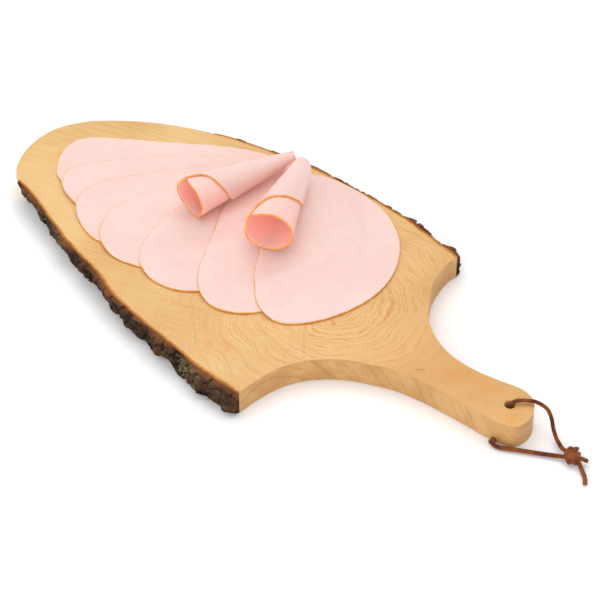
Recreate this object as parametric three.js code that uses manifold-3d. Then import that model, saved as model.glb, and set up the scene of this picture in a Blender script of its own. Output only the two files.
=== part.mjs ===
// Sliced turkey ham fanned out on a bark-edged wooden board with a handle and a leather thong.
// Millimetres. +X runs along the board towards its handle, +Z is up, and z = 0 is the board's underside.
import * as THREE from 'three';
import Module from 'manifold-3d';

// ---- driving constants ----
const BOARD_T = 17;          // board thickness
const EDGE_EASE = 1.2;       // small rounding on the board's sawn edges
const SHIFT = [30.37, -11.55]; // moves the drawn outline so that the board's middle is at the origin
const SLICE_T = 1.2;         // thickness of one slice of ham
const GAP = 0.3;             // clearance between neighbouring pieces
const PITCH = SLICE_T + GAP; // rise per stacked slice
const CELL = 10;             // spacing of the drape grid
const HOLE_R = 3.1;          // hanging hole in the handle
const HOLE_AT = [150, 1];
const THONG_R = 1.35;        // leather thong, half its width
const BARK_T = 3.6;          // bark thickness

const wasm = await Module();
wasm.setup();
const { Manifold, Mesh } = wasm;

// ---- small helpers ----
// How far a side that leans in by `under` at the bottom is drawn in at height z.
const lean = (under, z) => under * Math.max(0, 1 - z / (BOARD_T - EDGE_EASE));
const at = ([x, y]) => [x + SHIFT[0], y + SHIFT[1]];

function spline(points, count, closed = false) {
  const knots = points.map(([x, y, z = 0]) => new THREE.Vector3(x, y, z));
  const curve = new THREE.CatmullRomCurve3(knots, closed, 'centripetal');
  const out = [];
  const last = closed ? count : count + 1;
  for (let i = 0; i < last; i += 1) {
    const p = curve.getPoint(i / count);
    out.push([p.x, p.y, p.z]);
  }
  return out;
}

function anticlockwise(loop) {
  const area = THREE.ShapeUtils.area(loop.map(([x, y]) => new THREE.Vector2(x, y)));
  return area < 0 ? [...loop].reverse() : loop;
}

function material(colour, roughness) {
  return new THREE.MeshStandardMaterial({ color: new THREE.Color(...colour), roughness, metalness: 0 });
}

function indexed(points, faces) {
  const g = new THREE.BufferGeometry();
  g.setAttribute('position', new THREE.Float32BufferAttribute(points.flat(), 3));
  g.setIndex(faces.flat());
  return g;
}

function toManifold(geometry) {
  const pos = geometry.getAttribute('position');
  const keys = new Map();
  const verts = [];
  const remap = [];
  for (let i = 0; i < pos.count; i += 1) {
    const p = [pos.getX(i), pos.getY(i), pos.getZ(i)];
    const key = p.map((v) => Math.round(v * 1e4)).join(',');
    if (!keys.has(key)) {
      keys.set(key, verts.length / 3);
      verts.push(...p);
    }
    remap.push(keys.get(key));
  }
  const idx = geometry.index ? Array.from(geometry.index.array) : remap.map((_, i) => i);
  const tris = [];
  for (let i = 0; i < idx.length; i += 3) {
    const t = [remap[idx[i]], remap[idx[i + 1]], remap[idx[i + 2]]];
    if (t[0] !== t[1] && t[1] !== t[2] && t[2] !== t[0]) tris.push(...t);
  }
  const mesh = new Mesh({ numProp: 3, vertProperties: new Float32Array(verts), triVerts: new Uint32Array(tris) });
  mesh.merge();
  return new Manifold(mesh);
}

function fromManifold(solid) {
  const m = solid.getMesh();
  const g = new THREE.BufferGeometry();
  g.setAttribute('position', new THREE.Float32BufferAttribute(Array.from(m.vertProperties), 3));
  g.setIndex(Array.from(m.triVerts));
  return g;
}

function slab(outline, z0, z1, ease = 0) {
  const shape = new THREE.Shape(outline.map(([x, y]) => new THREE.Vector2(x, y)));
  const bevel = ease > 0
    ? { bevelEnabled: true, bevelSize: ease, bevelOffset: -ease, bevelThickness: ease, bevelSegments: 1 }
    : { bevelEnabled: false };
  const g = new THREE.ExtrudeGeometry(shape, { depth: z1 - z0 - 2 * ease, curveSegments: 1, steps: 1, ...bevel });
  g.translate(0, 0, z0 + ease);
  return g;
}

// ---- the board: a plank cut from a log, its two long sides still the tree's own edge ----
// The third number of a point is how far the underside is drawn in below it.
const FAR_EDGE = [
  [-213, -15, 6], [-220, -6, 5.5], [-226, 14, 4], [-223.5, 36, 3], [-212, 53.5, 1.5], [-192.5, 69, 0.5],
  [-170, 81.5], [-144.5, 91], [-115.5, 98], [-64.5, 103.5], [-35, 102.5], [4, 99], [33, 93], [56, 88],
];
const HANDLE_EDGE = [
  [56, 88], [54.5, 79], [57.5, 59], [63.5, 46.5], [70, 35], [78, 26.5], [86.5, 20.5], [96, 16], [106, 13.5],
  [120, 12.6], [136, 14], [149, 15.5], [158.5, 12.5], [164, 5], [165.5, -4], [162, -12.5], [152, -15],
  [128, -14], [98.5, -13.5], [80, -15.5], [67, -19.5], [56, -23.5], [46, -29], [37, -36], [29.5, -44.5],
  [23.5, -55.5], [19.5, -69], [17, -84],
];
const NEAR_EDGE = [
  [17, -84], [-21, -79.5, 1], [-39.5, -75, 2.2], [-67, -69.5, 3.2], [-97, -61, 6.2], [-118, -51.5, 6.4],
  [-141, -44.5, 6], [-164, -35, 6.8], [-193, -21.5, 6], [-213, -15, 6],
];
const NEAR_STEPS = 42; // the board and its near bark share these steps, so they stay parallel

function boardOutline() {
  const far = spline(FAR_EDGE, 28);
  const handle = spline(HANDLE_EDGE, 48);
  const near = spline(NEAR_EDGE, NEAR_STEPS);
  const loop = [...far.slice(0, -1), ...handle.slice(0, -1), ...near.slice(0, -1)];
  return anticlockwise(loop.map(([x, y, under]) => [...at([x, y]), under]));
}

// Moves each corner of an anticlockwise loop inwards by its own amount.
function inwards(loop, amount) {
  return loop.map((p, i) => {
    const a = loop[(i + loop.length - 1) % loop.length];
    const b = loop[(i + 1) % loop.length];
    const len = Math.hypot(b[0] - a[0], b[1] - a[1]);
    const d = amount(p);
    return [p[0] - d * (b[1] - a[1]) / len, p[1] + d * (b[0] - a[0]) / len];
  });
}

// A solid through several loops with the same number of corners, from the lowest to the highest.
function layered(rings) {
  const n = rings[0][0].length;
  const points = rings.flatMap(([loop, z]) => loop.map(([x, y]) => [x, y, z]));
  const faces = [];
  for (let r = 0; r + 1 < rings.length; r += 1) {
    for (let i = 0; i < n; i += 1) {
      const [a, b] = [r * n + i, r * n + (i + 1) % n];
      faces.push([a, b, b + n], [a, b + n, a + n]);
    }
  }
  const cap = (ring, flip) => {
    const flat = ring[0].map(([x, y]) => new THREE.Vector2(x, y));
    return THREE.ShapeUtils.triangulateShape(flat, []).map(([a, b, c]) => {
      const area = THREE.ShapeUtils.area([flat[a], flat[b], flat[c]]);
      return (area > 0) !== flip ? [a, b, c] : [a, c, b];
    });
  };
  const top = rings.length - 1;
  cap(rings[0], true).forEach((f) => faces.push(f));
  cap(rings[top], false).forEach((f) => faces.push(f.map((v) => v + top * n)));
  return indexed(points, faces);
}

function makeBoard() {
  const loop = boardOutline();
  const ringAt = (z, ease) => [inwards(loop, (p) => lean(p[2], z) + ease), z];
  const plank = toManifold(layered([
    ringAt(0, EDGE_EASE), ringAt(EDGE_EASE, 0), ringAt(BOARD_T - EDGE_EASE, 0), ringAt(BOARD_T, EDGE_EASE),
  ]));
  const [hx, hy] = at(HOLE_AT);
  const hole = Manifold.cylinder(BOARD_T + 4, HOLE_R, HOLE_R, 24).translate([hx, hy, -2]);
  // the thong leaves the hole in a shallow groove under the handle
  const groove = Manifold.cube([5.2, 26, 8.4]).translate([-2.6, -26, -4.2]);
  const turned = groove.rotate([0, 0, -3]).translate([hx, hy, 0]);
  return fromManifold(plank.subtract(hole).subtract(turned));
}

// A strip of bark hugging part of the board's side, thin and ragged on its outer face. It leans
// with the side, and grow gives its thickness at the two ends of the edge, against the usual.
function makeBark(edge, from, to, steps, grow) {
  const line = spline(edge, steps);
  const first = Math.round(from * steps);
  const part = line.slice(first, Math.round(to * steps) + 1);
  const ring = (z) => {
    const inner = [];
    const outer = [];
    part.forEach((p, i) => {
      const a = part[Math.max(0, i - 1)];
      const b = part[Math.min(part.length - 1, i + 1)];
      const len = Math.hypot(b[0] - a[0], b[1] - a[1]);
      const n = [-(b[1] - a[1]) / len, (b[0] - a[0]) / len];
      const ends = Math.min(1, 0.55 + Math.min(i, part.length - 1 - i) / 4);
      const ragged = 1 + 0.16 * Math.sin(i * 1.9) + 0.1 * Math.sin(i * 4.1 + 1);
      const t = BARK_T * ends * ragged * (grow[0] + (grow[1] - grow[0]) * ((first + i) / steps) ** 3);
      const off = GAP - lean(p[2], z);
      inner.push([p[0] + n[0] * off, p[1] + n[1] * off]);
      outer.push([p[0] + n[0] * (off + t), p[1] + n[1] * (off + t)]);
    });
    return [anticlockwise([...inner, ...outer.reverse()].map(at)), z];
  };
  return layered([ring(0.4), ring(BOARD_T - EDGE_EASE), ring(BOARD_T - 0.6)]);
}

// ---- slices: long ovals fanned about a point near the far edge, each lying on the ones before ----
const SLICES = [
  [[-191, 0], [-200, 11], [-205, 25], [-202, 38], [-186, 50], [-165, 62], [-144, 74], [-122, 86], [-100, 94.5],
    [-82, 96.5], [-69, 90], [-63, 74], [-67, 54], [-78, 33], [-94, 15], [-116, 1], [-142, -6], [-168, -6]],
  [[-180, -7.5], [-187, 0], [-188.5, 9], [-182, 20], [-168, 35], [-154, 48], [-138, 61], [-120, 74], [-102, 84],
    [-84, 91], [-69, 89], [-59, 78], [-58, 62], [-66, 42], [-80, 22], [-98, 5], [-120, -8], [-142, -14],
    [-163, -14]],
  [[-155, -23], [-164, -14], [-166, -2], [-162, 11], [-152, 25], [-140, 38], [-126, 53], [-112, 67], [-96, 79],
    [-80, 87], [-65, 87], [-53, 78], [-48, 62], [-50, 42], [-60, 18], [-76, -3], [-96, -20], [-118, -30],
    [-139, -31]],
  [[-138, -21], [-140, -9], [-138, 2], [-132, 14], [-122, 30], [-110, 48], [-96, 65], [-80, 78], [-64, 83],
    [-49, 76], [-41, 58], [-42, 34], [-51, 9], [-66, -13], [-84, -29], [-102, -36.5], [-117, -37],
    [-130, -31.5]],
  [[-107, 9], [-108, -8], [-104, -24], [-96.5, -34], [-83, -39.5], [-67, -38.5], [-53, -30.5], [-38, -15],
    [-26, 4], [-18, 26], [-17, 48], [-25, 70], [-42, 84], [-63, 87], [-82, 76], [-96, 54], [-104, 31]],
  [[-84, 38], [-79, 22], [-71, 1], [-62.5, -20], [-51, -32.5], [-37, -36.5], [-21, -31], [-7, -15], [2, 8],
    [4, 32], [-4, 58], [-22, 80], [-46, 93], [-68, 92], [-82, 78], [-87, 58]],
  [[-45, 20], [-31.5, -4], [-14, -22], [2, -24], [17, -13], [30, 9], [35.5, 34], [31, 59], [16, 82],
    [-6, 96], [-34, 101], [-56, 97], [-66, 82], [-63, 58], [-55, 38]],
];
const outlines = SLICES.map((points) => anticlockwise(spline(points, 36, true).map(at)));

// Grid corners around a slice that carry what lies over it: every corner of each grid triangle
// that the slice reaches. Between them and the next corners out, the sheet above slopes down.
const carried = outlines.map(() => new Map());

function carries(k, i, j) {
  const key = `${i},${j}`;
  if (!carried[k].has(key)) {
    const near = [[[0, 0], [1, 0], [1, 1]], [[0, 0], [1, 1], [0, 1]], [[0, 0], [0, -1], [1, 0]],
      [[0, 0], [-1, 0], [0, 1]], [[0, 0], [-1, -1], [0, -1]], [[0, 0], [-1, 0], [-1, -1]]];
    const hit = near.some((tri) => clipToTriangle(outlines[k], anticlockwise(
      tri.map(([a, b]) => [(i + a) * CELL, (j + b) * CELL]))).length > 2);
    carried[k].set(key, hit ? 1 : 0);
  }
  return carried[k].get(key);
}

function stackHeight(k, x, y) {
  let z = BOARD_T + GAP;
  for (let n = 0; n < k; n += 1) z += PITCH * carries(n, Math.round(x / CELL), Math.round(y / CELL));
  return z;
}

// Cuts a polygon down to one triangle of the grid.
function clipToTriangle(polygon, tri) {
  let out = polygon;
  for (let e = 0; e < 3 && out.length; e += 1) {
    const a = tri[e];
    const b = tri[(e + 1) % 3];
    const side = (p) => (b[0] - a[0]) * (p[1] - a[1]) - (b[1] - a[1]) * (p[0] - a[0]);
    const next = [];
    out.forEach((p, i) => {
      const q = out[(i + 1) % out.length];
      const sp = side(p);
      const sq = side(q);
      if (sp >= 0) next.push(p);
      if ((sp > 0 && sq < 0) || (sp < 0 && sq > 0)) {
        const t = sp / (sp - sq);
        next.push([p[0] + t * (q[0] - p[0]), p[1] + t * (q[1] - p[1])]);
      }
    });
    out = next;
  }
  return out;
}

// Splits a small polygon into triangles by cutting off its best-shaped corner each time.
function cutCorners(ring, where) {
  const left = [...ring];
  const out = [];
  const cross = (a, b, c) => (b[0] - a[0]) * (c[1] - a[1]) - (b[1] - a[1]) * (c[0] - a[0]);
  while (left.length > 3) {
    let best = -1;
    let score = -Infinity;
    left.forEach((v, i) => {
      const prev = left[(i + left.length - 1) % left.length];
      const next = left[(i + 1) % left.length];
      const [a, b, c] = [where(prev), where(v), where(next)];
      const area = cross(a, b, c);
      const blocked = left.some((w) => w !== prev && w !== v && w !== next
        && cross(a, b, where(w)) >= 0 && cross(b, c, where(w)) >= 0 && cross(c, a, where(w)) >= 0);
      const rank = area > 0 && !blocked ? area : Math.min(area, 0) - 1e6;
      if (rank > score) [best, score] = [i, rank];
    });
    const n = left.length;
    out.push([left[(best + n - 1) % n], left[best], left[(best + 1) % n]]);
    left.splice(best, 1);
  }
  out.push(left);
  return out;
}

// A thin sheet: the outline is tiled by a grid, and place(u, v, level) puts each grid corner
// in space on the sheet's lower (0) or upper (1) face.
function sheet(outline, du, dv, place) {
  const us = outline.map((p) => p[0]);
  const vs = outline.map((p) => p[1]);
  const points = [[], []];
  const flat = [];
  const index = new Map();
  const faces = [];
  const corner = new Map();
  const cornerAt = (i, j, level) => {
    const key = `${i},${j},${level}`;
    if (!corner.has(key)) corner.set(key, place(i * du, j * dv, level));
    return corner.get(key);
  };
  const addPoint = (p, tri, ij) => {
    const key = `${Math.round(p[0] / du * 2e4)},${Math.round(p[1] / dv * 2e4)}`;
    if (index.has(key)) return index.get(key);
    const [a, b, c] = tri;
    const det = (b[1] - c[1]) * (a[0] - c[0]) + (c[0] - b[0]) * (a[1] - c[1]);
    const wa = ((b[1] - c[1]) * (p[0] - c[0]) + (c[0] - b[0]) * (p[1] - c[1])) / det;
    const wb = ((c[1] - a[1]) * (p[0] - c[0]) + (a[0] - c[0]) * (p[1] - c[1])) / det;
    const w = [wa, wb, 1 - wa - wb];
    [0, 1].forEach((level) => {
      const q = [0, 0, 0];
      ij.forEach(([i, j], n) => cornerAt(i, j, level).forEach((v, d) => { q[d] += w[n] * v; }));
      points[level].push(q);
    });
    flat.push([p[0] / du, p[1] / dv]);
    index.set(key, points[0].length - 1);
    return points[0].length - 1;
  };
  const [i0, i1] = [Math.floor(Math.min(...us) / du), Math.ceil(Math.max(...us) / du)];
  const [j0, j1] = [Math.floor(Math.min(...vs) / dv), Math.ceil(Math.max(...vs) / dv)];
  const edges = new Map();
  for (let i = i0; i < i1; i += 1) {
    for (let j = j0; j < j1; j += 1) {
      const halves = [[[i, j], [i + 1, j], [i + 1, j + 1]], [[i, j], [i + 1, j + 1], [i, j + 1]]];
      halves.forEach((ij) => {
        const tri = ij.map(([a, b]) => [a * du, b * dv]);
        const ids = clipToTriangle(outline, tri).map((p) => addPoint(p, tri, ij));
        const ring = ids.filter((v, n) => v !== ids[(n + 1) % ids.length]);
        if (ring.length < 3) return;
        cutCorners(ring, (v) => flat[v]).forEach((f) => {
          if (new Set(f).size < 3) return;
          faces.push(f);
          f.forEach((v, m) => edges.set(`${v},${f[(m + 1) % 3]}`, [v, f[(m + 1) % 3]]));
        });
      });
    }
  }
  const n = points[0].length;
  const all = [...points[0], ...points[1]];
  const tris = [];
  faces.forEach(([a, b, c]) => tris.push([a, c, b], [a + n, b + n, c + n]));
  edges.forEach(([a, b]) => {
    if (!edges.has(`${b},${a}`)) tris.push([a, b, b + n], [a, b + n, a + n]);
  });
  return indexed(all, tris);
}

function makeSlice(k) {
  return sheet(outlines[k], CELL, CELL, (x, y, level) => [x, y, stackHeight(k, x, y) + level * SLICE_T]);
}

// ---- rolled slices: one slice wound once and a half into a cone, lying on the fan ----
// mouth: middle of the open end in plan; heading: compass turn of the axis towards the tip, in degrees;
// rest: height of the bed under the mouth and under the tip, above the board;
// rim and toe: the slice's two long edges, as [turn about the axis in degrees, distance from the mouth].
const ROLLS = {
  left: {
    mouth: [-95.5, 15.6], heading: 71.8, radius: 14.7, taper: 7.57, rest: [6.6, 11.9],
    rim: [[-62, 22], [-50, 8], [-30, 1.5], [0, -1.5], [30, -1], [80, 0.4], [140, 1], [208, 1.6], [250, -1],
      [290, -0.5], [312, 3], [335, 10.5], [360, 13.6], [398, 16.3], [431, 19.8], [470, 23.5], [510, 29],
      [532, 38]],
    toe: [[535, 52], [505, 66], [450, 75], [360, 79], [200, 81], [60, 78], [-20, 68], [-55, 50], [-64, 36]],
  },
  right: {
    mouth: [-37.2, 18], heading: 108.65, radius: 17.3, taper: 8.47, rest: [5.0, 10.8],
    rim: [[-78, 22], [-64, 8], [-42, -1], [-10, -2.6], [20, -0.6], [60, 1.2], [110, 1.4], [162, 3],
      [204, 2.2], [244, -0.2], [272, 2.5], [290, 9], [310, 15], [338, 18.5], [371, 21.6], [405, 25.8],
      [436, 30.3], [468, 35.5], [488, 44]],
    toe: [[490, 56], [462, 65], [415, 70], [350, 72.5], [200, 74], [60, 72], [-20, 64], [-68, 48], [-80, 34]],
  },
};
const WIND = 20; // degrees between the roll's straight facets
const ROWS = 3;  // steps along the roll

// Reads a height off a hand-drawn line of [x, y] points.
function along(line, x) {
  const i = Math.max(1, line.findIndex(([px]) => px >= x));
  const [[x0, y0], [x1, y1]] = [line[i - 1], line[i]];
  return y0 + (y1 - y0) * Math.min(1, Math.max(0, (x - x0) / (x1 - x0)));
}

function makeRoll({ mouth, heading, radius, taper, rest, rim, toe }) {
  const rad = Math.PI / 180;
  const beta = taper * rad;
  const [mx, my] = at(mouth);
  const dip = Math.atan((rest[1] - rest[0]) / 76) - beta;
  const east = Math.cos(heading * rad);
  const north = Math.sin(heading * rad);
  const centre = new THREE.Vector3(mx, my, BOARD_T + rest[0] + radius);
  const axis = new THREE.Vector3(east * Math.cos(dip), north * Math.cos(dip), Math.sin(dip));
  const up = new THREE.Vector3(-east * Math.sin(dip), -north * Math.sin(dip), Math.cos(dip));
  const side = new THREE.Vector3(north, -east, 0);
  const place = (turn, d, level) => {
    const inset = PITCH * (last - turn) / 360 + (1 - level) * SLICE_T;
    const r = radius - d * Math.tan(beta) - inset;
    const p = centre.clone().addScaledVector(axis, d);
    p.addScaledVector(up, r * Math.cos(turn * rad)).addScaledVector(side, r * Math.sin(turn * rad));
    return [p.x, p.y, p.z];
  };
  const first = Math.max(rim[0][0], toe[toe.length - 1][0]);
  const last = Math.min(rim[rim.length - 1][0], toe[0][0]);
  const turns = [first];
  for (let t = Math.ceil((first + 4) / WIND) * WIND; t < last - 4; t += WIND) turns.push(t);
  turns.push(last);
  const points = [];
  turns.forEach((turn) => {
    const near = along(rim, turn);
    const far = along([...toe].reverse(), turn);
    for (let row = 0; row <= ROWS; row += 1) {
      const d = near + (far - near) * (row / ROWS);
      points.push(place(turn, d, 1), place(turn, d, 0));
    }
  });
  const id = (i, row, inner) => (i * (ROWS + 1) + row) * 2 + inner;
  const faces = [];
  const quad = (a, b, c, d) => faces.push([a, c, b], [a, d, c]);
  const n = turns.length - 1;
  for (let i = 0; i < n; i += 1) {
    for (let row = 0; row < ROWS; row += 1) {
      quad(id(i, row, 0), id(i, row + 1, 0), id(i + 1, row + 1, 0), id(i + 1, row, 0));
      quad(id(i, row, 1), id(i + 1, row, 1), id(i + 1, row + 1, 1), id(i, row + 1, 1));
    }
    quad(id(i, 0, 0), id(i + 1, 0, 0), id(i + 1, 0, 1), id(i, 0, 1));
    quad(id(i, ROWS, 0), id(i, ROWS, 1), id(i + 1, ROWS, 1), id(i + 1, ROWS, 0));
  }
  for (let row = 0; row < ROWS; row += 1) {
    quad(id(0, row, 0), id(0, row, 1), id(0, row + 1, 1), id(0, row + 1, 0));
    quad(id(n, row, 0), id(n, row + 1, 0), id(n, row + 1, 1), id(n, row, 1));
  }
  return indexed(points, faces);
}

// ---- the leather thong: through the hole, out under the handle, and tied in a knot on the table ----
const KNOT_AT = [195.4, -1.6, 4.5];
const UPPER = [
  [150.4, 1.4, 10], [150.5, 1.6, 17.2], [152.4, 3.4, 19.3], [158.3, 8, 19.4], [162.4, 9.8, 19.2],
  [168.8, 11.6, 16], [172.4, 11, 11.5], [176.4, 8, 6], [181.4, 4.4, 3.0], [188, 0, 3.8],
];
const LOWER = [
  [150, 0.3, 8], [149.9, -0.2, 4.4], [149.9, -2.8, 2.1], [149.9, -8, 1.8], [150.2, -14, 1.7],
  [151.2, -18, 1.6], [154.8, -18.9, 1.6], [164.7, -14.8, 1.6], [178.6, -8.6, 1.6], [188, -4.8, 2.2],
];
const TAIL = [[202, -4.2, 2.6], [206.1, -7.3, 1.5], [209.2, -10.4, 1.5], [211.3, -13.8, 1.5]];

function strand(points, steps) {
  const curve = new THREE.CatmullRomCurve3(
    points.map(([x, y, z]) => new THREE.Vector3(...at([x, y]), z)), false, 'centripetal');
  const shape = new THREE.Shape();
  shape.absarc(0, 0, THONG_R, 0, 2 * Math.PI, false); // eight sides
  return new THREE.ExtrudeGeometry(shape, { extrudePath: curve, steps, curveSegments: 4, bevelEnabled: false });
}

function makeKnot() {
  const [x, y] = at(KNOT_AT);
  const loop = (tilt, turn, r) => toManifold(new THREE.TorusGeometry(r, THONG_R * 1.05, 6, 14))
    .rotate([tilt, 0, turn]).translate([x, y, KNOT_AT[2]]);
  const core = Manifold.sphere(1, 12).scale([5.2, 4.4, 3.0]).translate([x, y, KNOT_AT[2]]);
  return fromManifold(core.add(loop(78, 35, 2.8)).add(loop(74, -50, 2.7)).add(loop(20, 10, 4)));
}

// ---- assembly ----
const part = new THREE.Group();
part.name = 'turkey_ham';
const ham = () => material([0.93, 0.74, 0.70], 0.45);
const wood = material([0.85, 0.68, 0.47], 0.6);
const bark = () => material([0.16, 0.11, 0.08], 0.95);
const leather = () => material([0.42, 0.22, 0.12], 0.7);

function add(name, geometry, mat) {
  const flat = geometry.index ? geometry : geometry.clone();
  flat.computeVertexNormals();
  const mesh = new THREE.Mesh(flat, mat);
  mesh.name = name;
  part.add(mesh);
}

add('board', makeBoard(), wood);
add('bark_front', makeBark(NEAR_EDGE, 0, 0.98, NEAR_STEPS, [0.9, 0.6]), bark());
add('bark_back', makeBark(FAR_EDGE, 0.56, 1, 48, [1, 1.78]), bark());
SLICES.forEach((_, k) => add(`ham_slice_${k + 1}`, makeSlice(k), ham()));
add('ham_roll_left', makeRoll(ROLLS.left), ham());
add('ham_roll_right', makeRoll(ROLLS.right), ham());
add('thong_upper', strand(UPPER, 26), leather());
add('thong_lower', strand(LOWER, 24), leather());
add('thong_tail', strand(TAIL, 6), leather());
add('thong_knot', makeKnot(), leather());

export default part;
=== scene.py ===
# %% [markdown]
# # Sliced turkey ham on a bark-edged board
# Seven thin oval slices are fanned out on a plank that was sawn lengthwise from a log,
# so its two long sides still carry bark. Two more slices are rolled into cones and lie
# on the fan. A leather thong is tied through the handle. The solid model of the same
# thing is loaded first. It fixes every place and size, and the pieces made here take
# the place of its plain solids one by one.

import math

import bpy
import numpy as np
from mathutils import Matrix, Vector, noise


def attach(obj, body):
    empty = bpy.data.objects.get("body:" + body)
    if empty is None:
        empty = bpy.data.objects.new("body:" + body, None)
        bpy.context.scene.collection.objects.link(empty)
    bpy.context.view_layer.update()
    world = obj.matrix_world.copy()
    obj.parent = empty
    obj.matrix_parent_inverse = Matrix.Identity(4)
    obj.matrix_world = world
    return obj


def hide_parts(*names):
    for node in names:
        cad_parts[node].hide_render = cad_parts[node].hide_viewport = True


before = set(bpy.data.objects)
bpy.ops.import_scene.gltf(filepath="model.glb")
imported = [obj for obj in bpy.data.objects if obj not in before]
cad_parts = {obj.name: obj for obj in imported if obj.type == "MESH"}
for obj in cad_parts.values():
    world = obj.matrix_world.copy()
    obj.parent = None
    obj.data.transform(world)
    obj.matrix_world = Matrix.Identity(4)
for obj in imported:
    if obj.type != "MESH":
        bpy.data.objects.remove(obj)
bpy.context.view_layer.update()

# %% [markdown]
# ## Helpers
# Operators act on whatever is selected, so every step first clears the selection. A
# finished piece has its object at the origin, unturned and unscaled, because its place
# is in its mesh. The layout is drawn in millimetres on the plan of the board, and a
# small function turns those numbers into metres in the model's own frame.

# %% Selection, editing and placing
MM = 0.001
SHIFT = (30.37, -11.55)
BOARD_TOP = 17.0


def only(obj):
    """Select one object and nothing else."""
    if bpy.context.object and bpy.context.object.mode != "OBJECT":
        bpy.ops.object.mode_set(mode="OBJECT")
    bpy.ops.object.select_all(action="DESELECT")
    obj.select_set(True)
    bpy.context.view_layer.objects.active = obj
    return obj


def settle(obj):
    """Move an object's place, turn and scale into its mesh."""
    only(obj)
    bpy.ops.object.transform_apply(location=True, rotation=True, scale=True)
    return obj


def keep(obj, name, node, material=None):
    """Name a finished piece, give it its finish, and let it stand for its plain solid."""
    settle(obj)
    obj.name = name
    obj.data.name = name
    obj.data.materials.clear()
    if material:
        obj.data.materials.append(material)
    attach(obj, "root")
    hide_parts(node)
    print(name, len(obj.data.polygons), "faces")
    return obj


def on_plan(x, y, z=0.0):
    """A point drawn on the plan, in millimetres, as metres in the model's frame."""
    return Vector(((x + SHIFT[0]) * MM, (y + SHIFT[1]) * MM, z * MM))


def apply_all(obj):
    only(obj)
    for m in list(obj.modifiers):
        bpy.ops.object.modifier_apply(modifier=m.name)


def smooth_line(points, count, closed=False):
    """A centripetal Catmull-Rom line through given points, in two or three dimensions."""
    p = [np.array(q, float) for q in points]
    spans = len(p) if closed else len(p) - 1
    out = []
    for s in range(count if closed else count + 1):
        t = s / count * spans
        k = min(int(t), spans - 1)
        f = t - k
        b, c = p[k], p[(k + 1) % len(p)]
        a = p[k - 1] if closed or k > 0 else 2 * b - c
        d = p[(k + 2) % len(p)] if closed or k + 2 < len(p) else 2 * c - b
        ab, bc, cd = (max(np.linalg.norm(v - u) ** 0.5, 1e-4) for u, v in ((a, b), (b, c), (c, d)))
        leave = ((b - a) / ab - (c - a) / (ab + bc) + (c - b) / bc) * bc
        reach = ((c - b) / bc - (d - b) / (bc + cd) + (d - c) / cd) * bc
        out.append(b + leave * f + (3 * (c - b) - 2 * leave - reach) * f ** 2
                   + (2 * (b - c) + leave + reach) * f ** 3)
    return np.array(out)


# %% [markdown]
# ## Camera, light and floor
# The camera looks down at the board from the near left at a little under 45 degrees,
# with a long lens, so the board hardly tapers. A wide soft light above and a weaker one
# from the side keep the shadows faint, as on a studio table. The floor is near white.

# %% Camera
AZIMUTH, ELEVATION, DISTANCE = math.radians(36), math.radians(44), 1.515
target = on_plan(0, 0, BOARD_TOP)
back = Vector((math.sin(AZIMUTH) * math.cos(ELEVATION), -math.cos(AZIMUTH) * math.cos(ELEVATION),
               math.sin(ELEVATION)))
bpy.ops.object.camera_add(location=target + back * DISTANCE)
camera = bpy.context.object
camera.rotation_euler = (math.pi / 2 - ELEVATION, 0, AZIMUTH)
camera.data.sensor_width = 36
camera.data.lens = 150
camera.data.clip_end = 20
bpy.context.scene.camera = camera
print("camera at", [round(v, 3) for v in camera.location])

# %% Floor and lights
bpy.ops.object.select_all(action="DESELECT")
bpy.ops.mesh.primitive_plane_add(size=6, location=(0, 0, -0.0004))
floor = settle(bpy.context.object)
floor.name = "floor"
paper = bpy.data.materials.new("white_paper")
paper.use_nodes = True
paper.node_tree.nodes["Principled BSDF"].inputs["Base Color"].default_value = (0.99, 0.99, 0.99, 1)
paper.node_tree.nodes["Principled BSDF"].inputs["Roughness"].default_value = 0.9
floor.data.materials.append(paper)


def soft_light(name, place, size, power, tint=(1, 1, 1)):
    bpy.ops.object.light_add(type="AREA", location=place)
    light = bpy.context.object
    light.name = name
    light.data.size = size
    light.data.energy = power
    light.data.color = tint
    light.rotation_euler = (Vector((0, 0, 0)) - Vector(place)).to_track_quat("-Z", "Y").to_euler()
    return light


soft_light("light_above", (-0.25, 0.55, 1.6), 1.6, 12.4)
soft_light("light_side", (-1.3, -0.5, 0.9), 1.2, 3.6)
soft_light("light_near", (0.5, -1.4, 0.8), 1.4, 8)
world = bpy.data.worlds.new("studio")
bpy.context.scene.world = world
world.use_nodes = True
world.node_tree.nodes["Background"].inputs["Color"].default_value = (1, 1, 1, 1)
world.node_tree.nodes["Background"].inputs["Strength"].default_value = 0.72
bpy.context.scene.view_settings.view_transform = "Standard"
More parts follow.
